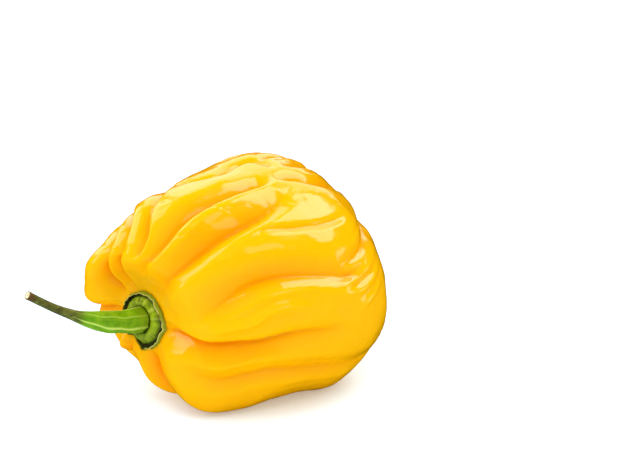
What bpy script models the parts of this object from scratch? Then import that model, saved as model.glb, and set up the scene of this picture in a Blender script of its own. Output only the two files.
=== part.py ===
# Chilli pepper of the habanero kind, lying on its side: a folded pod, its calyx and its cut stem.
# Metres, +Z up.  The blossom tip is at +X and the stem at -X.
import math

import bmesh
import bpy
import numpy as np
from mathutils import Vector

MM = 0.001

# ---- pod: sizes of the smooth body, before its folds ----
POD_LENGTH = 52 * MM            # stem pole to blossom tip, along the body
SHOULDER_RADIUS = 17.2 * MM     # round the calyx
UPPER_RADIUS = 20.1 * MM
MIDDLE_RADIUS = 21.8 * MM
BELLY_RADIUS = 22.5 * MM        # widest, halfway along
LOWER_RADIUS = 21.4 * MM        # where the body starts to close
FOLD_SCALE = 1.0                # 1 gives the folds their full depth
FOLD_UNION = 3                  # how sharply folds that meet share their depth
SIDE_BEND = 10.6 * MM           # how far the tip stands to the +Y side
DROOP = 8.5 * MM                # how far the tip hangs below the stem's axis
POD_PITCH = math.radians(-18.7) # the body leans on its belly, tip up
CALYX_TURN = math.radians(23)   # the stem end turns up against that lean
TURN_PIVOT = 3.1 * MM           # how far inside the pod that turn is centred
TURN_START = 0.03               # station where the turn starts to fade
TURN_FADE = 0.16                # and over how much of the skin it does
POD_SEGMENTS = 92
POD_RINGS = 50

# ---- calyx: the green cap ----
CALYX_RADIUS = 4.9 * MM         # along the pod's skin, from the pole to the rim
CALYX_RISE = 1.5 * MM           # height of the dome over the skin
CALYX_RIM = 0.55 * MM           # thickness at the rim
CALYX_TEETH = 5
CALYX_TOOTH = 0.5 * MM          # how far a tooth stands out of the rim
CALYX_SEGMENTS = 50

# ---- stem ----
STEM_RADIUS = 1.95 * MM         # the thick green part
STEM_END_RADIUS = 0.7 * MM      # the thin dried end
STEM_LENGTH = 22.5 * MM         # how far it reaches out from the calyx
STEM_FLARE = 1.12               # width at the calyx over the thick part's
STEM_POINTS = 34

GAP = 0.3 * MM                  # clearance between touching pieces
REST_FLAT = 0.45 * MM           # how much of the lowest lobes is pressed flat by the surface

# outline of the smooth body: distance along the body and radius, as shares of their sizes
BODY_OUTLINE = (
    (0.000, 0.00 * SHOULDER_RADIUS),
    (0.000, 0.16 * SHOULDER_RADIUS),
    (-0.006, 0.33 * SHOULDER_RADIUS),
    (-0.017, 0.49 * SHOULDER_RADIUS),
    (-0.021, 0.63 * SHOULDER_RADIUS),
    (-0.006, 0.82 * SHOULDER_RADIUS),
    (0.070, SHOULDER_RADIUS),
    (0.180, UPPER_RADIUS),
    (0.330, MIDDLE_RADIUS),
    (0.500, BELLY_RADIUS),
    (0.660, LOWER_RADIUS),
    (0.800, 0.79 * LOWER_RADIUS),
    (0.900, 0.53 * LOWER_RADIUS),
    (0.965, 0.29 * LOWER_RADIUS),
    (0.990, 0.09 * LOWER_RADIUS),
    (1.000, 0.00 * LOWER_RADIUS),
)

# centre line of the body: station, share of the side bend and share of the droop
BODY_LINE = (
    (0.00, 0.00, 0.00),
    (0.08, 0.00, 0.00),
    (0.30, -0.33, 0.00),
    (0.60, -0.29, 0.78),
    (1.00, 1.00, 1.00),
)

# Folds run along the skin.  Each has a reach to either side, a softness (0 is a sharp line, 1 a round
# trough) and points of (station, angle, depth).  Station runs 0 to 1 from the stem pole to the tip,
# angle is in degrees with 0 up and 90 towards -Y, reaches and depths are in millimetres.
FOLDS = (
    # crown, round the calyx on the upper side
    (3.4, 0.1, (0.06, -52, 0.8), (0.14, -46, 2.2), (0.22, -38, 2.4), (0.32, -42, 1.6), (0.42, -52, 0.6)),
    (2.9, 0.1, (0.05, -27, 0.8), (0.13, -22, 2.0), (0.19, -16, 2.2), (0.28, -31, 2.0), (0.40, -46, 0.8)),
    (2.7, 0.1, (0.15, 2, 0.3), (0.22, -2, 1.8), (0.28, -12, 2.3), (0.36, -28, 2.2), (0.46, -42, 1.0)),
    # the edge of the top lobe over the ridge behind it, and the edge where its neighbour ends
    (2.8, 0.0, (0.39, -34, 0.8), (0.48, -20, 1.9), (0.56, -14, 2.3), (0.61, -6, 2.0), (0.60, 8, 1.2)),
    (3.6, 0.3, (0.10, 6, 0.3), (0.20, 14, 1.6), (0.30, 12, 2.4), (0.44, 12, 2.6), (0.58, 14, 1.6)),
    (3.0, 0.0, (0.57, 14, 1.0), (0.61, 20, 2.0), (0.67, 29, 1.8), (0.82, 38, 0.8)),
    # long valleys of the near side
    (4.8, 0.7, (0.08, 35, 0.6), (0.20, 35, 2.4), (0.30, 34, 3.2), (0.42, 32, 2.6), (0.55, 27, 1.0)),
    (1.5, 0.3, (0.26, 36, 0.1), (0.36, 37, 0.4), (0.46, 39, 0.5), (0.56, 44, 0.5), (0.66, 48, 0.2)),
    (5.0, 0.6, (0.19, 72, 0.4), (0.25, 65, 1.9), (0.34, 63, 2.6), (0.46, 69, 2.3), (0.62, 80, 0.9)),
    (4.4, 0.1, (0.05, 94, 1.0), (0.11, 88, 2.5), (0.18, 88, 2.8), (0.30, 86, 2.3), (0.42, 92, 1.7), (0.58, 103, 0.6)),
    (4.2, 0.6, (0.12, 114, 0.4), (0.20, 113, 1.4), (0.30, 111, 1.7), (0.44, 118, 1.3), (0.62, 127, 0.5)),
    # underside
    (5.0, 0.1, (0.05, 158, 1.0), (0.11, 167, 3.0), (0.18, 168, 3.2), (0.34, 173, 2.6), (0.50, 178, 1.8), (0.66, 180, 0.6)),
    (4.0, 0.1, (0.05, -160, 1.0), (0.12, -158, 2.4), (0.20, -163, 2.0), (0.34, -165, 0.8)),
    (5.0, 0.2, (0.05, -124, 1.0), (0.14, -120, 2.6), (0.28, -126, 2.2), (0.46, -132, 0.8)),
    # far side
    (4.6, 0.2, (0.05, -86, 1.0), (0.14, -88, 2.4), (0.30, -84, 2.8), (0.46, -80, 2.2), (0.64, -84, 0.8)),
    (4.0, 0.2, (0.20, -64, 0.6), (0.34, -62, 2.2), (0.50, -57, 2.6), (0.66, -50, 1.0)),
    (4.6, 0.4, (0.34, -106, 0.6), (0.50, -104, 2.2), (0.68, -110, 2.0), (0.86, -118, 0.6)),
    (5.0, 0.6, (0.44, -138, 0.5), (0.56, -136, 1.6), (0.70, -142, 1.5), (0.86, -148, 0.5)),
    # crumpled end of the ridge, and furrows that run in to the tip
    (2.8, 0.2, (0.46, -42, 0.5), (0.58, -34, 1.8), (0.70, -28, 1.5), (0.86, -20, 0.5)),
    (2.2, 0.2, (0.61, -4, 0.5), (0.70, -4, 1.4), (0.82, 2, 0.5)),
    (2.2, 0.2, (0.63, 9, 0.5), (0.73, 12, 1.3), (0.85, 16, 0.4)),
    (3.2, 0.3, (0.50, 68, 0.4), (0.60, 67, 1.1), (0.72, 62, 1.0), (0.86, 58, 0.7), (0.96, 56, 0.4)),
    (4.0, 0.4, (0.66, 100, 0.5), (0.80, 106, 1.6), (0.92, 110, 1.0), (0.98, 110, 0.3)),
    (4.0, 0.4, (0.64, 150, 0.5), (0.80, 156, 1.6), (0.92, 160, 1.0), (0.98, 160, 0.3)),
    (4.0, 0.4, (0.72, -68, 0.5), (0.84, -64, 1.4), (0.93, -60, 1.0), (0.98, -60, 0.3)),
)

# Swells: (station, angle, height, width), in millimetres and degrees like the folds
SWELLS = (
    (0.16, -63, 1.2, 8.0),
    (0.22, -90, 1.4, 8.0),
    (0.60, -30, 0.8, 8.0),
    (0.72, -12, 0.8, 8.0),
    (0.16, 150, 2.1, 8.0),
    (0.30, 150, 0.6, 8.0),
    (0.60, 130, -0.6, 8.0),
    (0.08, -150, -1.3, 8.0),
    # the three lobes that the pod lies on, and the flatter belly between them
    (0.24, 158, 1.3, 7.5),
    (0.50, 154, 2.1, 7.5),
    (0.38, -152, 1.4, 8.0),
    (0.56, -178, -4.8, 15.0),
)

# Stem route: share of the way out from the calyx, then how far it has moved sideways and up, as
# shares of the stem's length, and its radius as a mix of the two stem radii (1 is the thick one)
STEM_ROUTE = (
    (0.00, 0.000, 0.000, 1.00),
    (0.14, 0.005, 0.006, 1.00),
    (0.31, 0.016, 0.030, 0.94),
    (0.52, 0.043, 0.082, 0.60),
    (0.65, 0.065, 0.141, 0.14),
    (0.79, 0.092, 0.206, 0.03),
    (1.00, 0.138, 0.322, 0.02),
)


def clear_scene():
    for obj in list(bpy.data.objects):
        bpy.data.objects.remove(obj)


def smooth_curve(x, knots, values):
    """Smooth curve through the knots, held level outside them."""
    knots = np.asarray(knots, float)
    values = np.asarray(values, float)
    steps = np.diff(values) / np.diff(knots)
    slopes = np.empty(len(knots))
    slopes[0] = steps[0]
    slopes[-1] = steps[-1]
    slopes[1:-1] = (steps[:-1] + steps[1:]) / 2
    x = np.clip(x, knots[0], knots[-1])
    i = np.clip(np.searchsorted(knots, x, side='right') - 1, 0, len(knots) - 2)
    span = knots[i + 1] - knots[i]
    t = (x - knots[i]) / span
    start = values[i] * (2 * t**3 - 3 * t**2 + 1) + slopes[i] * span * (t**3 - 2 * t**2 + t)
    end = values[i + 1] * (3 * t**2 - 2 * t**3) + slopes[i + 1] * span * (t**3 - t**2)
    return start + end


def ease(x):
    x = np.clip(x, 0, 1)
    return x * x * (3 - 2 * x)


def turn(points, angle, centre):
    """Turn points about the Y axis through centre."""
    c = math.cos(angle)
    s = math.sin(angle)
    p = points - centre
    turned = np.stack([p[..., 0] * c + p[..., 2] * s, p[..., 1], p[..., 2] * c - p[..., 0] * s], -1)
    return turned + centre


def body_table():
    """The outline by its own length: station, distance along the body, radius, and the whole length."""
    along = np.array([share * POD_LENGTH for share, _ in BODY_OUTLINE])
    radius = np.array([r for _, r in BODY_OUTLINE])
    knots = np.r_[0, np.cumsum(np.hypot(np.diff(along), np.diff(radius)))]
    fine = np.linspace(0, knots[-1], 1500)
    x = smooth_curve(fine, knots, along)
    r = np.maximum(smooth_curve(fine, knots, radius), 0)
    length = np.r_[0, np.cumsum(np.hypot(np.diff(x), np.diff(r)))]
    return length / length[-1], x, r, length[-1]


STATIONS, ALONG, RADII, SKIN_LENGTH = body_table()


def body_point(station, angle):
    """Point of the smooth body, in its own frame, for arrays of stations and angles in radians."""
    line = np.array(BODY_LINE)
    x = np.interp(station, STATIONS, ALONG)
    r = np.interp(station, STATIONS, RADII)
    y = SIDE_BEND * smooth_curve(station, line[:, 0], line[:, 1])
    z = -DROOP * smooth_curve(station, line[:, 0], line[:, 2])
    p = np.stack([x, y - r * np.sin(angle), z + r * np.cos(angle)], -1)
    # the calyx end is turned, and the turn fades out along the skin
    share = np.asarray(1 - ease((station - TURN_START) / TURN_FADE))[..., None]
    pivot = np.array([TURN_PIVOT, 0, 0])
    return p + share * (turn(p, CALYX_TURN, pivot) - p)


def body_normal(station, angle):
    step = 1e-3
    low = np.clip(station - step, 1e-4, 1)
    high = np.clip(station + step, 0, 1 - 1e-4)
    safe = np.clip(station, 2e-3, 1 - 2e-3)
    along = body_point(high, angle) - body_point(low, angle)
    around = body_point(safe, angle + step) - body_point(safe, angle - step)
    normal = np.cross(around, along)
    return normal / (np.linalg.norm(normal, axis=-1, keepdims=True) + 1e-15)


def fold_relief(station, angle):
    """Height of the skin over the smooth body: swells, less the folds."""
    degrees = np.degrees(angle)
    radius = np.maximum(np.interp(station, STATIONS, RADII), 2 * MM)
    height = np.zeros_like(station)
    for s0, a0, rise, width in SWELLS:
        along = (station - s0) * SKIN_LENGTH
        around = np.radians((degrees - a0 + 180) % 360 - 180) * radius
        height += rise * MM * np.exp(-(along**2 + around**2) / (width * MM) ** 2)
    cuts = np.zeros_like(station)
    for reach, softness, *route in FOLDS:
        route = np.array(route, float)
        place = np.linspace(0, 1, 40)
        knots = np.linspace(0, 1, len(route))
        s0 = smooth_curve(place, knots, route[:, 0])
        a0 = smooth_curve(place, knots, route[:, 1])
        depth = smooth_curve(place, knots, route[:, 2]) * MM
        depth = depth * ease(place / 0.12) * ease((1 - place) / 0.12)
        along = (station[:, None] - s0) * SKIN_LENGTH
        around = np.radians((degrees[:, None] - a0 + 180) % 360 - 180) * radius[:, None]
        near = 1 - np.clip(np.sqrt(along**2 + around**2) / (reach * MM), 0, 1)
        cut = depth * ((1 - softness) * near**2 + softness * ease(near))
        # folds that meet share one depth instead of adding theirs
        cuts += cut.max(axis=1) ** FOLD_UNION
    height -= FOLD_SCALE * cuts ** (1 / FOLD_UNION)
    # the skin is plain under the calyx and at the very tip
    under = CALYX_RADIUS / SKIN_LENGTH
    return height * ease((station - 0.75 * under) / (0.6 * under)) * ease((1 - station) / 0.03)


def pod_surface(station, angle, height=0.0):
    lift = fold_relief(station, angle) + height
    p = body_point(station, angle) + body_normal(station, angle) * np.asarray(lift)[..., None]
    return turn(p, POD_PITCH, np.array([POD_LENGTH / 2, 0, 0]))


def set_points(obj, points):
    obj.data.vertices.foreach_set('co', np.asarray(points, np.float32).ravel())
    obj.data.update()


def get_points(obj):
    points = np.empty(len(obj.data.vertices) * 3, np.float32)
    obj.data.vertices.foreach_get('co', points)
    return points.reshape(-1, 3).astype(float)


def material(name, colour, roughness):
    mat = bpy.data.materials.new(name)
    mat.use_nodes = True
    shader = mat.node_tree.nodes['Principled BSDF']
    shader.inputs['Base Color'].default_value = (*colour, 1)
    shader.inputs['Roughness'].default_value = roughness
    shader.inputs['Metallic'].default_value = 0.0
    return mat


def add_object(name, mesh, mat, collection):
    obj = bpy.data.objects.new(name, mesh)
    obj.data.materials.clear()
    obj.data.materials.append(mat)
    collection.objects.link(obj)
    for polygon in obj.data.polygons:
        polygon.use_smooth = True
    return obj


def make_pod(collection):
    bm = bmesh.new()
    bmesh.ops.create_uvsphere(bm, u_segments=POD_SEGMENTS, v_segments=POD_RINGS, radius=1)
    mesh = bpy.data.meshes.new('pod')
    bm.to_mesh(mesh)
    bm.free()
    pod = add_object('pod', mesh, material('pod_skin', (0.95, 0.50, 0.01), 0.18), collection)
    sphere = get_points(pod)
    station = np.arccos(np.clip(sphere[:, 2], -1, 1)) / math.pi
    angle = np.arctan2(-sphere[:, 1], sphere[:, 0])
    points = pod_surface(station, angle)
    # the surface that the pod lies on presses its lowest lobes flat
    points[:, 2] = np.maximum(points[:, 2], points[:, 2].min() + REST_FLAT)
    set_points(pod, points)
    return pod


def make_calyx(collection):
    """A turned cap, laid on the skin: its radius runs along the skin and its height out of it."""
    profile = bpy.data.meshes.new('calyx')
    outline = (
        (0.00, CALYX_RISE),
        (0.25, 0.98 * CALYX_RISE),
        (0.50, 0.90 * CALYX_RISE),
        (0.72, 0.74 * CALYX_RISE),
        (0.90, 0.52 * CALYX_RISE),
        (1.00, CALYX_RIM),
        (1.00, 0.00),
        (0.80, 0.00),
        (0.55, 0.00),
        (0.28, 0.00),
        (0.00, 0.00),
    )
    points = [(share * CALYX_RADIUS, 0, height) for share, height in outline]
    profile.from_pydata(points, [(i, i + 1) for i in range(len(points) - 1)], [])
    calyx = add_object('calyx', profile, material('calyx_green', (0.16, 0.28, 0.04), 0.5), collection)
    screw = calyx.modifiers.new('turn', 'SCREW')
    screw.axis = 'Z'
    screw.steps = CALYX_SEGMENTS
    screw.render_steps = CALYX_SEGMENTS
    screw.use_merge_vertices = True
    screw.merge_threshold = 0.00001
    turned = bpy.data.meshes.new_from_object(calyx.evaluated_get(bpy.context.evaluated_depsgraph_get()))
    calyx.modifiers.clear()
    calyx.data = turned
    p = get_points(calyx)
    angle = np.arctan2(p[:, 1], p[:, 0])
    reach = np.hypot(p[:, 0], p[:, 1])
    # teeth push the outer part of the cap out and in
    tooth = CALYX_TOOTH * (0.5 + 0.5 * np.cos(CALYX_TEETH * angle)) ** 2
    reach = reach + tooth * (reach / CALYX_RADIUS) ** 3
    set_points(calyx, pod_surface(reach / SKIN_LENGTH, angle, p[:, 2] + GAP))
    bm = bmesh.new()
    bm.from_mesh(calyx.data)
    bmesh.ops.recalc_face_normals(bm, faces=bm.faces)
    bm.to_mesh(calyx.data)
    bm.free()
    return calyx


def make_stem(collection):
    route = np.array(STEM_ROUTE)
    pole = np.zeros(1)
    foot = pod_surface(pole, pole, CALYX_RISE + 2 * GAP)[0]
    out = pod_surface(pole, pole, CALYX_RISE + 2 * GAP + MM)[0] - foot
    out = Vector(out).normalized()
    side = Vector((0, 1, 0))
    up = side.cross(out).normalized()
    if up.z < 0:
        up.negate()
    share = np.linspace(0, 1, STEM_POINTS)
    along = share * STEM_LENGTH
    sideways = smooth_curve(share, route[:, 0], route[:, 1]) * STEM_LENGTH
    upward = smooth_curve(share, route[:, 0], route[:, 2]) * STEM_LENGTH
    thick = smooth_curve(share, route[:, 0], route[:, 3])
    radius = STEM_END_RADIUS + thick * (STEM_RADIUS - STEM_END_RADIUS)
    radius = radius * (1 + (STEM_FLARE - 1) * np.exp(-(share / 0.08) ** 2))
    curve = bpy.data.curves.new('stem', 'CURVE')
    curve.dimensions = '3D'
    curve.bevel_depth = 1.0
    curve.bevel_resolution = 3
    curve.use_fill_caps = True
    spline = curve.splines.new('POLY')
    spline.points.add(STEM_POINTS - 1)
    for i, point in enumerate(spline.points):
        place = Vector(foot) + out * along[i] + side * sideways[i] + up * upward[i]
        point.co = (*place, 1)
        point.radius = radius[i]
    tube = bpy.data.objects.new('stem_curve', curve)
    collection.objects.link(tube)
    mesh = bpy.data.meshes.new_from_object(tube.evaluated_get(bpy.context.evaluated_depsgraph_get()))
    bpy.data.objects.remove(tube)
    bm = bmesh.new()
    bm.from_mesh(mesh)
    bmesh.ops.remove_doubles(bm, verts=bm.verts, dist=0.00001)
    bmesh.ops.recalc_face_normals(bm, faces=bm.faces)
    bm.to_mesh(mesh)
    bm.free()
    return add_object('stem', mesh, material('stem_green', (0.22, 0.42, 0.05), 0.4), collection)


def stand_on_origin(objects):
    """Move everything so that the middle of the bottom of the whole box is the origin."""
    corners = np.concatenate([get_points(obj) for obj in objects])
    low = corners.min(axis=0)
    high = corners.max(axis=0)
    shift = -np.array([(low[0] + high[0]) / 2, (low[1] + high[1]) / 2, low[2]])
    for obj in objects:
        set_points(obj, get_points(obj) + shift)


def main():
    clear_scene()
    collection = bpy.data.collections.new('chilli_pepper')
    bpy.context.scene.collection.children.link(collection)
    pieces = [make_pod(collection), make_calyx(collection), make_stem(collection)]
    stand_on_origin(pieces)


main()
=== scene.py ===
import math

import bmesh
import bpy
import numpy as np
from mathutils import Matrix, Vector, noise


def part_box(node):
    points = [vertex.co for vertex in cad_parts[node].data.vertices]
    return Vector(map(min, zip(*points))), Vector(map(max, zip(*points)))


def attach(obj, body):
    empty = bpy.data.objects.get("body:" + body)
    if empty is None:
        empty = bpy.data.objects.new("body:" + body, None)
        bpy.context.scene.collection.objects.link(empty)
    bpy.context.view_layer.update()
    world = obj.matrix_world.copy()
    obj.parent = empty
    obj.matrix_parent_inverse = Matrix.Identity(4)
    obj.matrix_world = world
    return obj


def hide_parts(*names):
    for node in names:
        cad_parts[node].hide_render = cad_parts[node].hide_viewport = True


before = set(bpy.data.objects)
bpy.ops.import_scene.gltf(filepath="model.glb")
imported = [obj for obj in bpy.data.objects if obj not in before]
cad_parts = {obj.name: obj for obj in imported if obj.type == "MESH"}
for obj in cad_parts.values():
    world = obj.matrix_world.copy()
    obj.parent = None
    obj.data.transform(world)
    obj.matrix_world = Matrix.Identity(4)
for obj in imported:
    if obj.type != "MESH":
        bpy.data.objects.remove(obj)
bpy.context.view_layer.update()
print("frame loaded:", sorted(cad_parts))

mm = 0.001

# what the pieces share, in mm
fit = {
    "calyxRadius": 4.9,       # along the skin, from the pole to the rim
    "calyxRise": 1.5,         # from the underside of the calyx to the foot of the stem
    "gap": 0.3,               # between one piece and the next
}

# the smooth body under the folds; lengths in mm, angles in degrees
bodyShape = {
    "length": 52.0,
    "shoulder": 17.2,
    "upper": 20.1,
    "middle": 21.8,
    "belly": 22.5,
    "lower": 21.4,
    "sideBend": 10.6,
    "droop": 8.5,
    "pitch": -18.7,
    "calyxTurn": 23.0,
    "turnPivot": 3.1,
    "turnStart": 0.03,
    "turnFade": 0.16,
    # share of the length, and share of one of the radii above
    "outline": [
        (0.000, 0.00, "shoulder"), (0.000, 0.16, "shoulder"), (-0.006, 0.33, "shoulder"),
        (-0.017, 0.49, "shoulder"), (-0.021, 0.63, "shoulder"), (-0.006, 0.82, "shoulder"),
        (0.070, 1.00, "shoulder"), (0.180, 1.00, "upper"), (0.330, 1.00, "middle"),
        (0.500, 1.00, "belly"), (0.660, 1.00, "lower"), (0.800, 0.79, "lower"),
        (0.900, 0.53, "lower"), (0.965, 0.29, "lower"), (0.990, 0.09, "lower"), (1.000, 0.00, "lower"),
    ],
    # station, share of the side bend, share of the droop
    "line": [
        (0.00, 0.00, 0.00), (0.08, 0.00, 0.00), (0.30, -0.33, 0.00), (0.60, -0.29, 0.78), (1.00, 1.00, 1.00),
    ],
}

# reach to either side, softness, lean (below 0, the side of larger angles is the steep one), then points
# of (station, angle, depth): station runs 0 to 1 from stem to tip, angle 0 is up and 90 towards -Y
bigFolds = [
    # crown, round the calyx on the upper side
    (2.9, 0.0, -0.2, (0.06, -50, 0.8), (0.13, -41, 2.0), (0.195, -31, 2.6), (0.26, -38, 2.2),
     (0.40, -53, 0.8)),
    (2.7, 0.0, -0.45, (0.05, -27, 0.8), (0.13, -20, 2.0), (0.19, -14, 2.4), (0.255, -21, 2.5),
     (0.34, -37, 1.8), (0.44, -49, 0.6)),
    (2.5, 0.0, -0.4, (0.16, 4, 0.3), (0.22, 1, 1.8), (0.28, -9, 2.3), (0.38, -20, 2.4),
     (0.46, -34, 1.6), (0.54, -40, 0.5)),
    # the edge of the top lobe over the ridge behind it, and the edge where its neighbour ends
    (2.4, 0.0, -0.35, (0.41, -22, 0.6), (0.45, -12, 1.4), (0.50, -7, 1.8), (0.56, -9, 2.2),
     (0.60, -4, 2.0), (0.60, 8, 1.2)),
    (3.6, 0.15, -0.35, (0.10, 6, 0.3), (0.20, 14, 1.6), (0.30, 12, 2.4), (0.44, 12, 2.6), (0.58, 14, 1.6)),
    (3.0, 0.0, -0.3, (0.57, 14, 1.0), (0.61, 20, 2.0), (0.67, 29, 1.8), (0.82, 38, 0.8)),
    # long valleys of the near side
    (4.8, 0.35, -0.35, (0.08, 35, 0.6), (0.20, 35, 2.1), (0.30, 34, 2.7), (0.42, 32, 2.3), (0.55, 27, 1.0)),
    (1.5, 0.2, 0.0, (0.36, 39, 0.1), (0.43, 41.5, 0.5), (0.48, 44.5, 0.7), (0.57, 48, 0.6),
     (0.64, 50, 0.2)),
    (5.0, 0.4, -0.35, (0.19, 72, 0.4), (0.25, 66, 1.9), (0.34, 64, 2.4), (0.46, 69, 1.7), (0.62, 80, 0.6)),
    (4.2, 0.1, 0.35, (0.05, 97, 1.0), (0.11, 92, 2.4), (0.18, 95, 2.8), (0.27, 98, 2.3),
     (0.37, 96, 1.4), (0.52, 99, 0.5)),
    (4.0, 0.5, -0.2, (0.12, 120, 0.4), (0.20, 122, 1.3), (0.30, 120, 1.6), (0.44, 124, 1.2),
     (0.62, 130, 0.5)),
    # underside
    (5.0, 0.1, -0.3, (0.05, 158, 1.0), (0.11, 167, 3.0), (0.18, 168, 3.2), (0.34, 173, 2.6),
     (0.50, 178, 1.8), (0.66, 180, 0.6)),
    (4.0, 0.1, -0.3, (0.05, -150, 1.0), (0.12, -147, 2.6), (0.20, -158, 2.2), (0.34, -165, 0.8)),
    (4.6, 0.3, -0.25, (0.05, -112, 0.8), (0.13, -109, 1.4), (0.26, -112, 2.0), (0.46, -122, 0.8)),
    # far side
    (4.6, 0.2, -0.35, (0.05, -86, 1.0), (0.14, -88, 2.4), (0.30, -84, 2.8), (0.46, -80, 2.2),
     (0.64, -84, 0.8)),
    (4.0, 0.2, -0.25, (0.20, -64, 0.6), (0.34, -62, 2.2), (0.50, -57, 2.6), (0.66, -50, 1.0)),
    (4.6, 0.4, -0.15, (0.34, -106, 0.6), (0.50, -104, 2.2), (0.68, -110, 2.0), (0.86, -118, 0.6)),
    (5.0, 0.6, 0.1, (0.44, -138, 0.5), (0.56, -136, 1.6), (0.70, -142, 1.5), (0.86, -148, 0.5)),
    # crumpled end of the ridge, and furrows that run in to the tip
    (2.8, 0.2, -0.25, (0.46, -42, 0.5), (0.58, -34, 1.8), (0.70, -28, 1.5), (0.86, -20, 0.5)),
    (2.2, 0.2, 0.0, (0.61, -4, 0.5), (0.70, -4, 1.4), (0.82, 2, 0.5)),
    (2.2, 0.2, 0.0, (0.63, 9, 0.5), (0.73, 12, 1.3), (0.85, 16, 0.4)),
    (3.2, 0.3, 0.0, (0.50, 68, 0.4), (0.60, 67, 1.1), (0.72, 62, 1.0), (0.86, 58, 0.7), (0.96, 56, 0.4)),
    (4.0, 0.4, 0.0, (0.66, 100, 0.5), (0.80, 106, 1.6), (0.92, 110, 1.0), (0.98, 110, 0.3)),
    (4.0, 0.4, 0.0, (0.64, 150, 0.5), (0.80, 156, 1.6), (0.92, 160, 1.0), (0.98, 160, 0.3)),
    (4.0, 0.4, 0.0, (0.72, -68, 0.5), (0.84, -64, 1.4), (0.93, -60, 1.0), (0.98, -60, 0.3)),
]

# station, angle, height, width
swells = [
    (0.16, -63, 0.7, 8.0), (0.185, -50, 0.9, 3.2), (0.22, -90, 1.4, 8.0), (0.60, -30, 0.8, 8.0),
    (0.72, -12, 0.8, 8.0), (0.16, 150, 2.1, 8.0), (0.30, 150, 0.6, 8.0), (0.60, 130, -0.6, 8.0),
    (0.095, -138, 2.2, 3.0), (0.15, -137, -2.6, 4.2), (0.20, 178, -1.5, 4.5), (0.125, -101, -1.8, 3.2),
    (0.24, 158, 1.3, 7.5), (0.50, 154, 2.1, 7.5), (0.38, -152, 1.4, 8.0), (0.56, -178, -4.8, 15.0),
]

# fine creases that only show in the skin, in the same form as the folds
fineCreases = [
    # short streaks in the crumpled patch behind the top lobe
    (0.9, 0.2, 0.0, (0.56, -24, 0.1), (0.62, -20, 0.35), (0.70, -16, 0.1)),
    (0.8, 0.2, 0.0, (0.63, -10, 0.1), (0.68, -12, 0.35), (0.76, -10, 0.1)),
    (0.8, 0.2, 0.0, (0.62, 2, 0.1), (0.68, 3, 0.3), (0.76, 6, 0.1)),
    (0.7, 0.2, 0.0, (0.66, 6, 0.1), (0.71, 7, 0.3), (0.78, 9, 0.1)),
    (0.8, 0.2, 0.0, (0.66, 18, 0.1), (0.72, 20, 0.3), (0.80, 22, 0.1)),
    # branching streaks on the near side's far end
    (0.9, 0.2, 0.0, (0.47, 74, 0.1), (0.54, 74, 0.35), (0.62, 71, 0.1)),
    (0.8, 0.2, 0.0, (0.50, 80, 0.1), (0.56, 79, 0.3), (0.64, 77, 0.1)),
    (0.8, 0.2, 0.0, (0.53, 86, 0.1), (0.58, 84, 0.3), (0.66, 81, 0.1)),
    (0.7, 0.2, 0.0, (0.58, 60, 0.1), (0.64, 58, 0.25), (0.72, 55, 0.1)),
    # across the crown lobes
    (0.8, 0.3, 0.0, (0.16, -8, 0.1), (0.20, -10, 0.3), (0.22, -22, 0.1)),
    (0.8, 0.3, 0.0, (0.25, 16, 0.05), (0.28, 22, 0.25), (0.30, 28, 0.05)),
    (0.7, 0.3, 0.0, (0.36, 14, 0.05), (0.38, 19, 0.2), (0.40, 25, 0.05)),
    # far side and underside
    (0.9, 0.2, 0.0, (0.40, -70, 0.1), (0.50, -70, 0.3), (0.60, -66, 0.1)),
    (0.9, 0.2, 0.0, (0.34, -96, 0.1), (0.44, -94, 0.3), (0.56, -92, 0.1)),
    (0.8, 0.2, 0.0, (0.60, -124, 0.1), (0.68, -126, 0.3), (0.78, -130, 0.1)),
    (0.8, 0.2, 0.0, (0.62, 118, 0.1), (0.70, 122, 0.3), (0.80, 128, 0.1)),
]

# thin raised lines along the crests, in the same form
fineCrests = [
    (1.7, 0.4, 0.0, (0.19, 82, 0.1), (0.22, 82, 0.8), (0.27, 83, 1.0), (0.31, 80, 1.0),
     (0.36, 80, 0.8), (0.41, 83, 0.1)),
    (1.6, 0.4, 0.0, (0.17, 110, 0.1), (0.21, 109, 0.6), (0.27, 107, 0.6), (0.34, 107, 0.1)),
    (1.2, 0.4, 0.0, (0.12, 92, 0.1), (0.15, 100, 0.3), (0.17, 112, 0.1)),
    (1.2, 0.4, 0.0, (0.20, 22, 0.1), (0.28, 22, 0.3), (0.38, 20, 0.3), (0.48, 20, 0.1)),
    (1.1, 0.3, 0.0, (0.52, 92, 0.1), (0.57, 88, 0.35), (0.63, 85, 0.1)),
    (1.1, 0.3, 0.0, (0.50, 78, 0.1), (0.56, 76.5, 0.35), (0.63, 74, 0.1)),
    (1.1, 0.3, 0.0, (0.52, 83, 0.1), (0.58, 81.5, 0.35), (0.66, 79, 0.1)),
]


podLook = {
    "segments": 400,
    "rings": 240,
    "waveHeight": 0.16,       # mm, slow unevenness of the skin
    "waveSize": 5.0,          # mm
    "rippleHeight": 0.045,
    "rippleSize": 1.6,
    "waveFrom": 0.045,        # station where the unevenness starts
    "waveBlend": 0.03,
    "foldSteps": 32,          # points along each fold's route
    "foldEnds": 0.12,         # share of a fold over which it runs out at each end
    "leanBlend": 0.4,         # mm either side of the route where the two slopes meet
    "crease": 0.15,           # share of a sharp fold's depth that its narrow bottom line adds
    "creaseReach": 0.9,
    "creaseFrom": 2,          # a fold with a smaller reach has no bottom line
    "plainUnder": 0.75,       # share of the calyx that lies on plain skin
    "plainBlend": 0.6,
    "plainTip": 0.03,
    "deepFold": 3.0,          # mm, the depth that has the full painted fold shade
    "flatten": 0.45,          # how much of the lowest lobes is pressed flat
}


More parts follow.
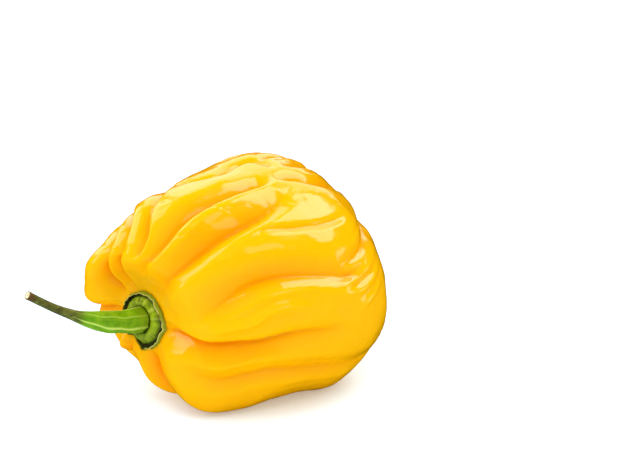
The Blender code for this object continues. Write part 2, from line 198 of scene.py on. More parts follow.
def smoothCurve(x, knots, values):
    knots = np.asarray(knots, float)
    values = np.asarray(values, float)
    steps = np.diff(values) / np.diff(knots)
    slopes = np.empty(len(knots))
    slopes[0] = steps[0]
    slopes[-1] = steps[-1]
    slopes[1:-1] = (steps[:-1] + steps[1:]) / 2
    x = np.clip(x, knots[0], knots[-1])
    i = np.clip(np.searchsorted(knots, x, side="right") - 1, 0, len(knots) - 2)
    span = knots[i + 1] - knots[i]
    t = (x - knots[i]) / span
    start = values[i] * (2 * t**3 - 3 * t**2 + 1) + slopes[i] * span * (t**3 - 2 * t**2 + t)
    end = values[i + 1] * (3 * t**2 - 2 * t**3) + slopes[i + 1] * span * (t**3 - t**2)
    return start + end


def ease(x):
    x = np.clip(x, 0, 1)
    return x * x * (3 - 2 * x)


def turnAboutY(points, degrees, centre):
    c = math.cos(math.radians(degrees))
    s = math.sin(math.radians(degrees))
    p = points - centre
    return np.stack([p[..., 0] * c + p[..., 2] * s, p[..., 1], p[..., 2] * c - p[..., 0] * s], -1) + centre


def outlineTable(shape):
    along = np.array([share * shape["length"] for share, _, _ in shape["outline"]])
    radius = np.array([share * shape[name] for _, share, name in shape["outline"]])
    knots = np.r_[0, np.cumsum(np.hypot(np.diff(along), np.diff(radius)))]
    fine = np.linspace(0, knots[-1], 1500)
    x = smoothCurve(fine, knots, along)
    r = np.maximum(smoothCurve(fine, knots, radius), 0)
    walked = np.r_[0, np.cumsum(np.hypot(np.diff(x), np.diff(r)))]
    return {"station": walked / walked[-1], "x": x, "r": r, "skin": walked[-1]}


outline = outlineTable(bodyShape)
bodyLine = np.array(bodyShape["line"])


def bodyPoint(station, angle):
    x = np.interp(station, outline["station"], outline["x"])
    r = np.interp(station, outline["station"], outline["r"])
    y = bodyShape["sideBend"] * smoothCurve(station, bodyLine[:, 0], bodyLine[:, 1])
    z = -bodyShape["droop"] * smoothCurve(station, bodyLine[:, 0], bodyLine[:, 2])
    p = np.stack([x, y - r * np.sin(angle), z + r * np.cos(angle)], -1)
    share = np.asarray(1 - ease((station - bodyShape["turnStart"]) / bodyShape["turnFade"]))[..., None]
    pivot = np.array([bodyShape["turnPivot"], 0, 0])
    return p + share * (turnAboutY(p, bodyShape["calyxTurn"], pivot) - p)


def bodyNormal(station, angle):
    step = 1e-3
    low = np.clip(station - step, 1e-4, 1)
    high = np.clip(station + step, 0, 1 - 1e-4)
    safe = np.clip(station, 2e-3, 1 - 2e-3)
    along = bodyPoint(high, angle) - bodyPoint(low, angle)
    around = bodyPoint(safe, angle + step) - bodyPoint(safe, angle - step)
    normal = np.cross(around, along)
    return normal / (np.linalg.norm(normal, axis=-1, keepdims=True) + 1e-15)


def cutDepth(fold, station, degrees, radius):
    reach, softness, lean, *route = fold
    route = np.array(route, float)
    place = np.linspace(0, 1, podLook["foldSteps"])
    knots = np.linspace(0, 1, len(route))
    s0 = smoothCurve(place, knots, route[:, 0])
    a0 = smoothCurve(place, knots, route[:, 1])
    ends = podLook["foldEnds"]
    depth = smoothCurve(place, knots, route[:, 2]) * ease(place / ends) * ease((1 - place) / ends)
    cut = np.zeros_like(station)
    for i in range(len(place) - 1):
        # distance of the skin's points from one short straight stretch of the fold
        along = (station - s0[i]) * outline["skin"]
        around = np.radians((degrees - a0[i] + 180) % 360 - 180) * radius
        runAlong = (s0[i + 1] - s0[i]) * outline["skin"]
        runAround = np.radians(a0[i + 1] - a0[i]) * radius
        margin = reach * (1 + abs(lean))
        close = np.flatnonzero((np.abs(along) < margin + abs(runAlong)) &
                               (np.abs(around) < margin + np.abs(runAround)))
        along = along[close]
        around = around[close]
        runAround = runAround[close]
        t = np.clip((along * runAlong + around * runAround) / (runAlong**2 + runAround**2 + 1e-9), 0, 1)
        side = (runAlong * around - runAround * along) / np.sqrt(runAlong**2 + runAround**2 + 1e-9)
        span = reach * (1 + lean * np.clip(side / podLook["leanBlend"], -1, 1))
        gap = np.hypot(along - t * runAlong, around - t * runAround)
        near = 1 - np.clip(gap / span, 0, 1)
        shape = (1 - softness) * near**2 + softness * ease(near)
        if reach > podLook["creaseFrom"]:
            line = 1 - np.clip(gap / podLook["creaseReach"], 0, 1)
            shape += podLook["crease"] * (1 - softness) * line**2
        here = (depth[i] + t * (depth[i + 1] - depth[i])) * shape
        cut[close] = np.maximum(cut[close], here)
    return cut


def skinRelief(station, angle, fine=True):
    degrees = np.degrees(angle)
    radius = np.maximum(np.interp(station, outline["station"], outline["r"]), 2.0)
    height = np.zeros_like(station)
    for s0, a0, rise, width in swells:
        along = (station - s0) * outline["skin"]
        around = np.radians((degrees - a0 + 180) % 360 - 180) * radius
        height += rise * np.exp(-(along**2 + around**2) / width**2)
    cuts = np.zeros_like(station)
    for fold in bigFolds:
        cuts += cutDepth(fold, station, degrees, radius) ** 3
    cuts = cuts ** (1 / 3)
    lines = np.zeros_like(station)
    if fine:
        for crease in fineCreases:
            lines = np.maximum(lines, cutDepth(crease, station, degrees, radius))
        for crest in fineCrests:
            height += cutDepth(crest, station, degrees, radius)
    under = fit["calyxRadius"] / outline["skin"]
    plain = ease((station - podLook["plainUnder"] * under) / (podLook["plainBlend"] * under))
    plain = plain * ease((1 - station) / podLook["plainTip"])
    return (height - cuts - lines) * plain, cuts * plain


def skinPoint(station, angle, lift):
    p = bodyPoint(station, angle) + bodyNormal(station, angle) * np.asarray(lift)[..., None]
    return turnAboutY(p, bodyShape["pitch"], np.array([bodyShape["length"] / 2, 0, 0])) * mm


def toMesh(bm, name):
    mesh = bpy.data.meshes.new(name)
    bm.to_mesh(mesh)
    bm.free()
    piece = bpy.data.objects.new(name, mesh)
    bpy.context.scene.collection.objects.link(piece)
    for polygon in mesh.polygons:
        polygon.use_smooth = True
    return piece


def addAttribute(mesh, name, values):
    layer = mesh.attributes.new(name, "FLOAT", "POINT")
    layer.data.foreach_set("value", np.asarray(values, np.float32))


def pointsOf(bm):
    return np.array([v.co for v in bm.verts], float)


def placePoints(bm, points):
    for vert, point in zip(bm.verts, points):
        vert.co = point


def faceOut(bm):
    bmesh.ops.recalc_face_normals(bm, faces=bm.faces)
    if bm.calc_volume(signed=True) < 0:
        bmesh.ops.reverse_faces(bm, faces=bm.faces)


def makePod():
    bm = bmesh.new()
    bmesh.ops.create_uvsphere(bm, u_segments=podLook["segments"], v_segments=podLook["rings"], radius=1)
    sphere = pointsOf(bm)
    station = np.arccos(np.clip(sphere[:, 2], -1, 1)) / math.pi
    angle = np.arctan2(-sphere[:, 1], sphere[:, 0])
    relief, cuts = skinRelief(station, angle)
    smooth = bodyPoint(station, angle)
    plain = ease((station - podLook["waveFrom"]) / podLook["waveBlend"])
    wave = np.array([noise.noise(Vector(p) / podLook["waveSize"]) for p in smooth])
    ripple = np.array([noise.noise(Vector(p) / podLook["rippleSize"]) for p in smooth])
    relief = relief + plain * (wave * podLook["waveHeight"] + ripple * podLook["rippleHeight"])
    points = skinPoint(station, angle, relief)
    low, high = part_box("pod")
    floor = points[:, 2].min() + podLook["flatten"] * mm
    points[:, 2] = np.maximum(points[:, 2], floor)
    shift = np.array([
        (low.x + high.x) / 2 - (points[:, 0].min() + points[:, 0].max()) / 2,
        (low.y + high.y) / 2 - (points[:, 1].min() + points[:, 1].max()) / 2,
        low.z - floor,
    ])
    placePoints(bm, points + shift)
    pod = toMesh(bm, "pod_skin")
    addAttribute(pod.data, "fold", np.clip(cuts / podLook["deepFold"], 0, 1))
    addAttribute(pod.data, "station", station)
    return pod, shift


pod, skinShift = makePod()
print("pod made, shift to the frame:", [round(float(c) / mm, 2) for c in skinShift])


calyxLook = {
    "segments": 160,
    # share of the radius and height over the skin, from the underside round the rim to the middle
    "section": [
        (0.30, 0.05), (0.70, 0.05), (0.98, 0.06), (1.030, 0.08), (1.045, 0.16), (1.035, 0.30),
        (1.020, 0.46), (1.008, 0.66), (1.002, 0.80), (0.995, 0.84), (0.982, 0.76), (0.970, 0.52),
        (0.955, 0.30), (0.920, 0.20), (0.880, 0.24), (0.850, 0.46), (0.820, 0.80), (0.775, 1.08),
        (0.710, 1.28), (0.640, 1.38), (0.570, 1.38), (0.510, 1.26), (0.475, 1.10), (0.450, 0.98),
        (0.380, 0.95), (0.200, 0.98),
    ],
    "ribs": 13,
    "ribSide": 30,            # where the ribs stand out most
    "ribSpread": 50,
    "ribLeast": 0.35,
    "ribDip": -0.2,           # how deep the furrow between two ribs may be
    "dome": (0.48, 0.88),     # shares of the radius
    "domeOver": 0.4,          # mm; what is lower belongs to the underside
    "outerFrom": 0.70,
    "curlOver": 0.3,
    "neckSide": 85,           # where the painted shade round the stem's foot is strongest
    "ribHeight": 0.07,
    "bridge": -0.25,          # mm, how far the calyx sinks where it crosses a fold
    "ragged": 0.05,
    # size, count round the calyx, and start of each wave
    "ribWarp": [(2.4, 2, 0.0), (1.3, 5, 0.0)],
    "lumps": [(0.10, 3, 0.6)],
    "raggedWaves": [(0.5, 5, 0.7), (0.3, 11, 2.1), (0.25, 23, 0.3)],
    "curlWaves": [(0.10, 7, 1.0), (0.06, 17, 0.0)],
    # change of reach, angle and width: the torn stretch of rim, the tooth beside it, and two fuller sides
    "rimChanges": [(-0.20, -152, 17), (0.10, 178, 8), (0.07, -84, 9), (0.07, 68, 60)],
    "drySpots": [(68, 7), (-84, 14), (178, 9), (-150, 24)],   # angle and width of the browned stretches
}


def angleFrom(angle, degrees):
    return (np.degrees(angle) - degrees + 180) % 360 - 180


def hump(angle, degrees, width):
    return np.exp(-(angleFrom(angle, degrees) / width) ** 2)


def waves(angle, parts):
    return sum(size * np.sin(count * angle + start) for size, count, start in parts)


def makeCalyx():
    bm = bmesh.new()
    radius = fit["calyxRadius"]
    ring = [bm.verts.new((share * radius, 0, height)) for share, height in calyxLook["section"]]
    edges = [bm.edges.new(pair) for pair in zip(ring[:-1], ring[1:])]
    bmesh.ops.spin(bm, geom=ring + edges, cent=(0, 0, 0), axis=(0, 0, 1), angle=math.tau,
                   steps=calyxLook["segments"], use_merge=True)
    bmesh.ops.remove_doubles(bm, verts=bm.verts, dist=1e-5)
    bmesh.ops.holes_fill(bm, edges=[e for e in bm.edges if e.is_boundary], sides=0)
    bmesh.ops.poke(bm, faces=[f for f in bm.faces if len(f.verts) > 4])
    p = pointsOf(bm)
    angle = np.arctan2(p[:, 1], p[:, 0])
    reach = np.hypot(p[:, 0], p[:, 1]) / radius
    height = p[:, 2].copy()
    rib = np.cos(calyxLook["ribs"] * angle + waves(angle, calyxLook["ribWarp"]))
    least = calyxLook["ribLeast"]
    rib *= least + (1 - least) * hump(angle, calyxLook["ribSide"], calyxLook["ribSpread"])
    # the dome lies between the stem and the groove, and the outer part runs on to the rim
    inner, outerEdge = calyxLook["dome"]
    dome = ease((reach - inner) / 0.1) * ease((outerEdge - reach) / 0.08) * (height > calyxLook["domeOver"])
    height += calyxLook["ribHeight"] * np.maximum(rib, calyxLook["ribDip"]) * dome
    height += waves(angle, calyxLook["lumps"]) * dome
    outer = ease((reach - calyxLook["outerFrom"]) / (1 - calyxLook["outerFrom"]))
    stretch = calyxLook["ragged"] * waves(angle, calyxLook["raggedWaves"])
    for change, degrees, width in calyxLook["rimChanges"]:
        stretch += change * hump(angle, degrees, width)
    height += waves(angle, calyxLook["curlWaves"]) * outer * (height > calyxLook["curlOver"])
    station = reach * (1 + stretch * outer) * radius / outline["skin"]
    relief, _ = skinRelief(station, angle, fine=False)
    points = skinPoint(station, angle, height + np.maximum(relief, calyxLook["bridge"])) + skinShift
    placePoints(bm, points)
    faceOut(bm)
    calyx = toMesh(bm, "calyx_cap")
    addAttribute(calyx.data, "reach", reach)
    addAttribute(calyx.data, "side", 0.5 + 0.5 * np.cos(angle - math.radians(calyxLook["neckSide"])))
    addAttribute(calyx.data, "rib", 0.5 + 0.5 * rib)
    dry = sum(hump(angle, degrees, width) for degrees, width in calyxLook["drySpots"])
    addAttribute(calyx.data, "dry", dry)
    return calyx


calyx = makeCalyx()
print("calyx made:", len(calyx.data.polygons), "faces")


stemLook = {
    "radius": 1.95,
    "endRadius": 0.70,
    "reach": 22.1,
    "flare": 1.12,
    "flareShare": 0.08,
    "collar": 0.05,           # slight swelling just before the cut
    "collarPlace": 0.985,
    "collarShare": 0.012,
    "sink": 1.0,              # how far the foot goes down into the calyx
    "sinkShare": 0.03,
    "hollow": 0.18,           # of the middle of the cut end
    "capRings": 5,
    "capStep": 0.18,
    "twist": 22,              # degrees, from the foot to the cut
    "wobble": 0.05,           # of the ridges, in radians
    "wobbleCount": 31,
    "grain": 0.05,
    "grainRound": 2.2,
    "grainLong": 9,
    "ridgeSink": 0.03,
    "ridgesFade": 0.62,       # past this share of the way the ridges are weaker
    "ridgesFadeOver": 0.12,
    "ridgesLeast": 0.35,
    "fullRidge": 0.08,        # the ridge height that has the full pale colour and painted highlight
    "segments": 72,
    "rings": 150,
    # share of the way out, then sideways and up as shares of the reach, and the mix of the two radii
    "route": [
        (0.00, 0.000, 0.000, 1.00), (0.14, 0.005, 0.006, 1.00), (0.31, 0.016, 0.030, 0.92),
        (0.42, 0.029, 0.056, 0.70), (0.53, 0.044, 0.092, 0.36), (0.65, 0.065, 0.141, 0.14),
        (0.79, 0.092, 0.206, 0.03), (1.00, 0.138, 0.322, 0.02),
    ],
    # angle, height and width
    "ridges": [
        (147, 0.06, 6), (163, 0.035, 5), (208, 0.095, 8), (252, 0.05, 7),
        (296, 0.07, 8), (340, 0.05, 7), (26, 0.07, 9), (84, 0.08, 9),
    ],
}


def stemFrame():
    pole = np.zeros(1)
    rise = fit["calyxRise"] + 2 * fit["gap"]
    foot = Vector(skinPoint(pole, pole, np.array([rise]))[0] + skinShift)
    above = Vector(skinPoint(pole, pole, np.array([rise + 1]))[0] + skinShift)
    out = (above - foot).normalized()
    side = Vector((0, 1, 0))
    up = side.cross(out).normalized()
    if up.z < 0:
        up.negate()
    return foot, out, side, up


def makeStem():
    foot, out, side, up = stemFrame()
    route = np.array(stemLook["route"])
    bm = bmesh.new()
    bmesh.ops.create_cone(bm, cap_ends=True, segments=stemLook["segments"], radius1=1, radius2=1, depth=1)
    lengthwise = [e for e in bm.edges if abs(e.verts[0].co.z - e.verts[1].co.z) > 0.5]
    bmesh.ops.subdivide_edges(bm, edges=lengthwise, cuts=stemLook["rings"], use_grid_fill=True)
    for end in (-0.5, 0.5):
        cap = [f for f in bm.faces if all(abs(v.co.z - end) < 1e-6 for v in f.verts)]
        for _ in range(stemLook["capRings"]):
            bmesh.ops.inset_region(bm, faces=cap, thickness=stemLook["capStep"], use_even_offset=True)
        bmesh.ops.poke(bm, faces=cap)
    p = pointsOf(bm)
    share = p[:, 2] + 0.5
    reach = np.hypot(p[:, 0], p[:, 1])
    around = np.arctan2(p[:, 1], p[:, 0])
    twist = around + math.radians(stemLook["twist"]) * share
    twist += stemLook["wobble"] * np.sin(stemLook["wobbleCount"] * share + 2 * around)
    ridge = np.zeros(len(p))
    for degrees, rise, width in stemLook["ridges"]:
        ridge = np.maximum(ridge, rise * hump(twist, degrees, width))
    thick = smoothCurve(share, route[:, 0], route[:, 3])
    radius = stemLook["endRadius"] + thick * (stemLook["radius"] - stemLook["endRadius"])
    radius *= 1 + (stemLook["flare"] - 1) * np.exp(-(share / stemLook["flareShare"]) ** 2)
    collar = np.exp(-((share - stemLook["collarPlace"]) / stemLook["collarShare"]) ** 2)
    radius *= 1 + stemLook["collar"] * collar
    wide = stemLook["grainRound"]
    long = stemLook["grainLong"]
    grain = np.array([noise.noise(Vector((math.cos(a) * wide, math.sin(a) * wide, s * long)))
                      for a, s in zip(twist, share)])
    least = stemLook["ridgesLeast"]
    fade = least + (1 - least) * ease((stemLook["ridgesFade"] - share) / stemLook["ridgesFadeOver"])
    radius *= 1 + (ridge - stemLook["ridgeSink"] + stemLook["grain"] * grain) * fade * ease(reach / 0.9)
    # the foot goes straight down into the calyx; the rest follows the route
    sunk = ease((stemLook["sinkShare"] - share) / stemLook["sinkShare"]) * stemLook["sink"]
    along = share * stemLook["reach"] - sunk
    sideways = smoothCurve(share, route[:, 0], route[:, 1]) * stemLook["reach"]
    upward = smoothCurve(share, route[:, 0], route[:, 2]) * stemLook["reach"]
    fine = np.linspace(0, 1, 400)
    line = np.stack([fine, smoothCurve(fine, route[:, 0], route[:, 1]),
                     smoothCurve(fine, route[:, 0], route[:, 2])], -1)
    slope = np.gradient(line, axis=0)
    slope /= np.linalg.norm(slope, axis=1, keepdims=True)
    tangent = np.stack([np.interp(share, fine, slope[:, k]) for k in range(3)], -1)
    # section axes at right angles to the route
    across = np.stack([-tangent[:, 1], tangent[:, 0], np.zeros(len(p))], -1)
    across /= np.linalg.norm(across, axis=1, keepdims=True)
    over = np.cross(tangent, across)
    centre = np.stack([along, sideways, upward], -1)
    # the cut end is a little hollow in its middle
    onCut = share > 0.999
    centre[:, 0] -= onCut * (1 - reach) * stemLook["hollow"]
    section = (np.cos(around)[:, None] * across + np.sin(around)[:, None] * over) * (reach * radius)[:, None]
    local = (centre + section) * mm
    axes = np.array([out, side, up])
    placePoints(bm, np.array(foot) + local @ axes)
    faceOut(bm)
    stem = toMesh(bm, "stem_stalk")
    addAttribute(stem.data, "along", share)
    addAttribute(stem.data, "ridge", ridge / stemLook["fullRidge"])
    addAttribute(stem.data, "cutReach", np.where(onCut, reach, 2.0))
    return stem


stem = makeStem()
print("stem made:", len(stem.data.polygons), "faces")


class Wire:
    def __init__(self, tree, socket):
        self.tree = tree
        self.socket = socket

    def reckon(self, operation, first, second):
        node = self.tree.nodes.new("ShaderNodeMath")
        node.operation = operation
        for socket, value in zip(node.inputs, (first, second)):
            if isinstance(value, Wire):
                self.tree.links.new(value.socket, socket)
            else:
                socket.default_value = value
        return Wire(self.tree, node.outputs[0])

    def __add__(self, other):
        return self.reckon("ADD", self, other)

    def __radd__(self, other):
        return self.reckon("ADD", other, self)

    def __sub__(self, other):
        return self.reckon("SUBTRACT", self, other)

    def __rsub__(self, other):
        return self.reckon("SUBTRACT", other, self)

    def __mul__(self, other):
        return self.reckon("MULTIPLY", self, other)


class Finish:
    def __init__(self, name, **fixed):
        self.material = bpy.data.materials.new(name)
        self.material.use_nodes = True
        self.tree = self.material.node_tree
        self.shader = self.tree.nodes["Principled BSDF"]
        for socket, value in fixed.items():
            self.shader.inputs[socket.replace("_", " ")].default_value = value

    def node(self, kind, settings=None, inputs=None, out=0):
        made = self.tree.nodes.new(kind)
        for key, value in (settings or {}).items():
            if key == "stops":
                ramp = made.color_ramp
                while len(ramp.elements) < len(value):
                    ramp.elements.new(0.5)
                for element, (place, colour) in zip(ramp.elements, value):
                    element.position = place
                    element.color = colour
            else:
                setattr(made, key, value)
        for key, value in (inputs or {}).items():
            sockets = [s for s in made.inputs if s.enabled and s.name == key]
            self.plug(sockets[0], value)
        outs = [s for s in made.outputs if s.enabled]
        return Wire(self.tree, outs[out])

    def plug(self, socket, value):
        if isinstance(value, Wire):
            self.tree.links.new(value.socket, socket)
        else:
            socket.default_value = value

    def feed(self, **links):
        for name, wire in links.items():
            self.plug(self.shader.inputs[name.replace("_", " ")], wire)

    def attribute(self, name):
        return self.node("ShaderNodeAttribute", {"attribute_name": name}, out=2)

    def place(self):
        return self.node("ShaderNodeTexCoord", out=3)

    def noise(self, size, detail=3.0, rough=0.55, stretch=None):
        where = self.place()
        if stretch:
            where = self.node("ShaderNodeMapping", inputs={"Vector": where, "Scale": stretch})
        return self.node("ShaderNodeTexNoise", inputs={"Vector": where, "Scale": 1 / size, "Detail": detail,
                                                       "Roughness": rough})

    def between(self, factor, low, high):
        return self.node("ShaderNodeMapRange", {"clamp": True},
                         {"Value": factor, "From Min": low, "From Max": high})

    def mix(self, factor, first, second):
        return self.node("ShaderNodeMix", {"data_type": "RGBA"},
                         {"Factor": factor, "A": first, "B": second})

    def bump(self, height, distance, strength=1.0, under=None):
        inputs = {"Height": height, "Distance": distance, "Strength": strength}
        if under:
            inputs["Normal"] = under
        return self.node("ShaderNodeBump", inputs=inputs)


def rgb(red, green, blue):
    def linear(c):
        c = c / 255
        return c / 12.92 if c <= 0.04045 else ((c + 0.055) / 1.055) ** 2.4
    return (linear(red), linear(green), linear(blue), 1)


# painted shade: the skin goes from yellow on the crests to darker orange deep in the folds; the mottle also
# blends towards the fold shade colour
skinFinish = {
    "crest": rgb(255, 180, 0),
    "flank": rgb(255, 172, 0),
    "foldShadeAndMottle": rgb(255, 160, 0),
    "rim": rgb(225, 170, 10),
    "places": (0.05, 0.35, 0.85),      # of crest, flank and painted fold shade over a fold's depth
    "rimStations": (0.058, 0.070),     # painted shade, tinted green, on the skin just beside the calyx
    "rimShare": 0.15,
    "patchSize": 0.009,
    "patchShare": 0.35,
    "mottleSize": 0.0022,
    "mottleShare": 0.25,
    "roughness": (0.09, 0.08),         # the least, and what the mottle adds
    # size of the pattern, then distance and strength of its bump
    "pores": (0.0006, 0.00002, 0.35),
    "dents": (0.003, 0.00012, 0.55),
    "wrinkles": (0.0016, 0.00010, 0.35),
    "wrinkleStretch": (0.28, 1.0, 1.0),
}


def podFinish():
    look = skinFinish
    skin = Finish("ripeYellowSkin", IOR=1.42, Specular_IOR_Level=0.64, Subsurface_Weight=0.25,
                  Subsurface_Scale=0.0025, Subsurface_Radius=(1.0, 0.7, 0.1))
    fold = skin.attribute("fold")
    station = skin.attribute("station")
    patches = skin.noise(look["patchSize"], 2.0)
    mottle = skin.noise(look["mottleSize"], 3.0)
    # painted shade: colour by fold depth, darker orange where the skin lies deeper in a fold
    depth = fold + (patches - 0.5) * look["patchShare"]
    stops = list(zip(look["places"], (look["crest"], look["flank"], look["foldShadeAndMottle"])))
    colour = skin.node("ShaderNodeValToRGB", {"stops": stops}, {"Fac": depth})
    colour = skin.mix((mottle - 0.5) * look["mottleShare"], colour, look["foldShadeAndMottle"])
    # painted shade, tinted green, on the skin just outside the calyx rim
    rimShadeMask = 1 - skin.between(station, *look["rimStations"])
    colour = skin.mix(rimShadeMask * look["rimShare"], colour, look["rim"])
    poreSize, poreDistance, poreStrength = look["pores"]
    dentSize, dentDistance, dentStrength = look["dents"]
    wrinkleSize, wrinkleDistance, wrinkleStrength = look["wrinkles"]
    normal = skin.bump(skin.noise(poreSize, 2.0), poreDistance, poreStrength)
    normal = skin.bump(skin.noise(dentSize, 2.0), dentDistance, dentStrength, normal)
    wrinkles = skin.noise(wrinkleSize, 3.0, 0.6, look["wrinkleStretch"])
    normal = skin.bump(wrinkles, wrinkleDistance, wrinkleStrength, normal)
    least, added = look["roughness"]
    skin.feed(Base_Color=colour, Roughness=least + mottle * added, Normal=normal)
    return skin.material


# pairs are the start and end of a blend; those of "groove" to "skirt" are shares of the radius
leafFinish = {
    "dark": rgb(58, 82, 0),
    "light": rgb(154, 174, 16),
    "blotches": (0.25, 0.72),
    "ribCrest": rgb(188, 196, 74),
    "ribs": (0.62, 1.0),
    "grooveShadeColour": rgb(36, 30, 6),
    "groove": (0.815, 0.875),
    "grooveEnd": (0.968, 0.984),
    "neckShadeColour": rgb(48, 54, 6),
    "neckEnd": (0.50, 0.58),
    "neck": (0.36, 0.44),
    "neckSides": (0.35, 0.75),
    "edge": (0.982, 0.990),
    "skirt": (1.000, 1.012),
    "skirtColour": rgb(134, 146, 24),
    "dryPale": rgb(204, 202, 110),
    "dryBrown": rgb(104, 60, 22),
    "drySpots": (0.60, 0.72),
    "blotchSize": 0.0012,
    "fibreSize": 0.0004,
    "bump": (0.00008, 0.7),
    "roughness": (0.42, 0.25),
}


def calyxFinish():
    look = leafFinish
    leaf = Finish("calyxGreen", IOR=1.45, Specular_IOR_Level=0.16, Subsurface_Weight=0.1,
                  Subsurface_Scale=0.001)
    reach = leaf.attribute("reach")
    rib = leaf.attribute("rib")
    blotch = leaf.noise(look["blotchSize"], 4.0, 0.6)
    fibre = leaf.noise(look["fibreSize"], 3.0)
    uneven = blotch - 0.5
    green = leaf.mix(leaf.between(blotch, *look["blotches"]), look["dark"], look["light"])
    green = leaf.mix(leaf.between(rib, *look["ribs"]) * 0.7, green, look["ribCrest"])
    # painted shade: near-black brown in the groove between the dome and the rim
    groove = leaf.between(reach + uneven * 0.05, *look["groove"])
    groove = groove * (1 - leaf.between(reach, *look["grooveEnd"]))
    green = leaf.mix(groove * 0.92, green, look["grooveShadeColour"])
    # painted shade: a dark ring round the stem's foot, strongest on one side
    neck = (1 - leaf.between(reach + uneven * 0.16, *look["neckEnd"])) * leaf.between(reach, *look["neck"])
    neck = neck * leaf.between(leaf.attribute("side"), *look["neckSides"])
    green = leaf.mix(neck * 0.85, green, look["neckShadeColour"])
    skirt = leaf.between(reach, *look["skirt"])
    edge = leaf.between(reach + uneven * 0.03, *look["edge"])
    spots = leaf.between(blotch + leaf.attribute("dry") * 0.35, *look["drySpots"])
    dry = leaf.mix(spots, look["dryPale"], look["dryBrown"])
    colour = leaf.mix(edge, green, leaf.mix(skirt, dry, look["skirtColour"]))
    normal = leaf.bump(fibre + rib * 0.3, *look["bump"])
    least, added = look["roughness"]
    leaf.feed(Base_Color=colour, Roughness=least + blotch * added, Normal=normal)
    return leaf.material


# pairs are the start and end of a blend; those of "drying" to "foot" are shares of the stem's length
stalkFinish = {
    "dark": rgb(88, 142, 0),
    "light": rgb(136, 184, 16),
    "blotches": (0.3, 0.7),
    "fibres": rgb(74, 116, 2),
    "paleRidgeAndHighlight": rgb(200, 222, 100),
    "ridges": (0.3, 1.1),
    "drying": (0.50, 0.585),
    "browning": (0.93, 0.985),
    "foot": (0.0, 0.07),
    "dryDark": rgb(62, 66, 16),
    "dryLight": rgb(122, 128, 46),
    "dryFibres": (0.3, 0.7),
    "dryPatch": rgb(64, 50, 22),
    "endBrown": rgb(98, 62, 26),
    "footColour": rgb(132, 146, 16),
    "patches": (0.35, 0.65),
    "cutFace": (0.74, 0.86),           # shares of the cut's radius
    "cutDot": (0.10, 0.26),
    "pithPale": rgb(240, 232, 190),
    "pithDark": rgb(214, 202, 148),
    "dotColour": rgb(120, 98, 60),
    "blotchSize": 0.0016,
    "fibreSize": 0.0006,
    "fibreStretch": (0.12, 1.0, 1.0),
    "bump": (0.0001, 0.7),
    "roughness": (0.38, 0.2),
}


def stemFinish():
    look = stalkFinish
    stalk = Finish("stalkGreen", IOR=1.45, Specular_IOR_Level=0.22, Subsurface_Weight=0.12,
                   Subsurface_Scale=0.001)
    along = stalk.attribute("along")
    ridge = stalk.attribute("ridge")
    cutReach = stalk.attribute("cutReach")
    blotch = stalk.noise(look["blotchSize"], 3.0)
    fibre = stalk.noise(look["fibreSize"], 3.0, 0.6, look["fibreStretch"])
    patches = stalk.between(blotch, *look["patches"])
    fresh = stalk.mix(stalk.between(blotch, *look["blotches"]), look["dark"], look["light"])
    fresh = stalk.mix(fibre * 0.4, fresh, look["fibres"])
    # the ridges' own paler green, with a painted highlight along their crests
    fresh = stalk.mix(stalk.between(ridge, *look["ridges"]) * 0.8, fresh, look["paleRidgeAndHighlight"])
    dry = stalk.mix(stalk.between(fibre, *look["dryFibres"]), look["dryDark"], look["dryLight"])
    dry = stalk.mix(patches * 0.6, dry, look["dryPatch"])
    drying = stalk.between(along + (blotch - 0.5) * 0.16 - ridge * 0.03, *look["drying"])
    colour = stalk.mix(drying, fresh, dry)
    colour = stalk.mix(stalk.between(along, *look["browning"]) * 0.8, colour, look["endBrown"])
    foot = 1 - stalk.between(along, *look["foot"])
    colour = stalk.mix(foot * 0.6, colour, look["footColour"])
    cutFace = 1 - stalk.between(cutReach, *look["cutFace"])
    pith = stalk.mix(patches, look["pithPale"], look["pithDark"])
    colour = stalk.mix(cutFace, colour, pith)
    colour = stalk.mix(1 - stalk.between(cutReach, *look["cutDot"]), colour, look["dotColour"])
    normal = stalk.bump(fibre, *look["bump"])
    least, added = look["roughness"]
    stalk.feed(Base_Color=colour, Roughness=least + blotch * added, Normal=normal)
    return stalk.material


for piece, material, node, slotName in (
        (pod, podFinish(), "pod", "pod_skin"),
        (calyx, calyxFinish(), "calyx", "calyx_green"),
        (stem, stemFinish(), "stem", "stem_green")):
    piece.data.materials.append(material)
    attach(piece, "root")
    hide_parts(node)
print("materials on")


view = {
    "azimuth": -45.6,
    "elevation": 16.6,
    "distance": 0.4645,
    "lens": 150.9,
    "aimRight": 0.0094,       # where the camera points, from the middle of the pod, in its own view
    "aimUp": 0.0075,
}
floorLook = {"half": 3.0, "colour": (0.71, 0.86, 1.0, 1), "roughness": 0.8, "glow": 0.25}
roomLight = 0.52
lamps = [
    # name, direction from the pepper (azimuth, elevation), distance, size, power, shows in the gloss
    ("keyBox", 75, 48, 0.70, 0.42, 1.9, True),
    ("rearBox", 130, 30, 0.80, 0.60, 1.6, True),
    ("leftBox", -150, 50, 0.80, 0.55, 1.9, True),
    ("frontBox", -60, 55, 0.90, 0.90, 5.9, False),
    ("backBox", 175, 28, 0.80, 0.40, 1.0, True),
    ("glintBox", -118, 24, 0.80, 0.28, 0.6, True),
    ("crestBox", 8, 36, 0.80, 0.30, 0.36, True),
    ("lowBox", 55, 3, 0.80, 0.20, 0.25, True),
]


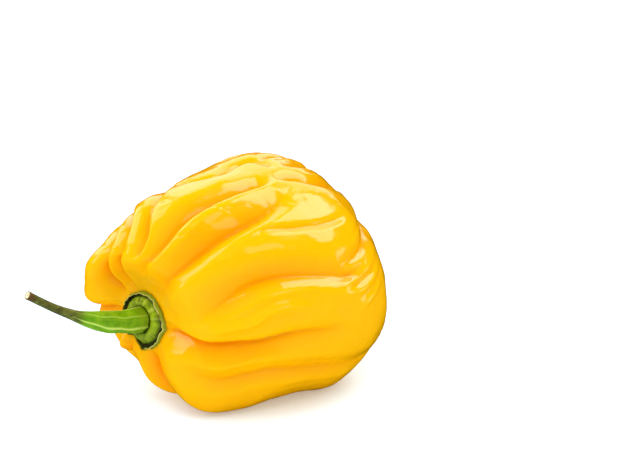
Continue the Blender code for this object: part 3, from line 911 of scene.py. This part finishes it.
def direction(azimuth, elevation):
    a = math.radians(azimuth)
    e = math.radians(elevation)
    return Vector((math.sin(a) * math.cos(e), -math.cos(a) * math.cos(e), math.sin(e)))


def setStage():
    bm = bmesh.new()
    bmesh.ops.create_grid(bm, x_segments=1, y_segments=1, size=floorLook["half"])
    floor = toMesh(bm, "floor_sheet")
    paper = Finish("palePaper", Roughness=floorLook["roughness"], Base_Color=floorLook["colour"],
                   Emission_Color=(1, 1, 1, 1), Emission_Strength=floorLook["glow"], Specular_IOR_Level=0.0)
    floor.data.materials.append(paper.material)
    floor.visible_glossy = False
    world = bpy.data.worlds.new("paleRoom")
    bpy.context.scene.world = world
    world.use_nodes = True
    background = world.node_tree.nodes["Background"]
    background.inputs["Color"].default_value = (1.0, 1.0, 1.0, 1)
    background.inputs["Strength"].default_value = roomLight
    world.cycles_visibility.glossy = False


def setLamps(middle):
    for name, azimuth, elevation, distance, size, power, inGloss in lamps:
        lamp = bpy.data.lights.new(name, "AREA")
        lamp.shape = "SQUARE"
        lamp.size = size
        lamp.energy = power
        holder = bpy.data.objects.new(name, lamp)
        bpy.context.scene.collection.objects.link(holder)
        toward = direction(azimuth, elevation)
        holder.location = middle + toward * distance
        holder.visible_camera = False
        holder.visible_glossy = inGloss
        holder.rotation_euler = toward.to_track_quat("Z", "Y").to_euler()


def setCamera():
    low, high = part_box("pod")
    back = direction(view["azimuth"], view["elevation"])
    right = Vector((0, 0, 1)).cross(back).normalized()
    up = back.cross(right)
    aim = (low + high) / 2 + right * view["aimRight"] + up * view["aimUp"]
    lens = bpy.data.cameras.new("view")
    lens.lens = view["lens"]
    lens.sensor_width = 36
    lens.clip_start = 0.01
    camera = bpy.data.objects.new("view", lens)
    bpy.context.scene.collection.objects.link(camera)
    turned = Matrix((right, up, back)).transposed().to_4x4()
    turned.translation = aim + back * view["distance"]
    camera.matrix_world = turned
    bpy.context.scene.camera = camera


setStage()
lowest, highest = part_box("pod")
setLamps((lowest + highest) / 2)
setCamera()
bpy.context.scene.view_settings.view_transform = "Standard"
print("stage, lamps and camera set")
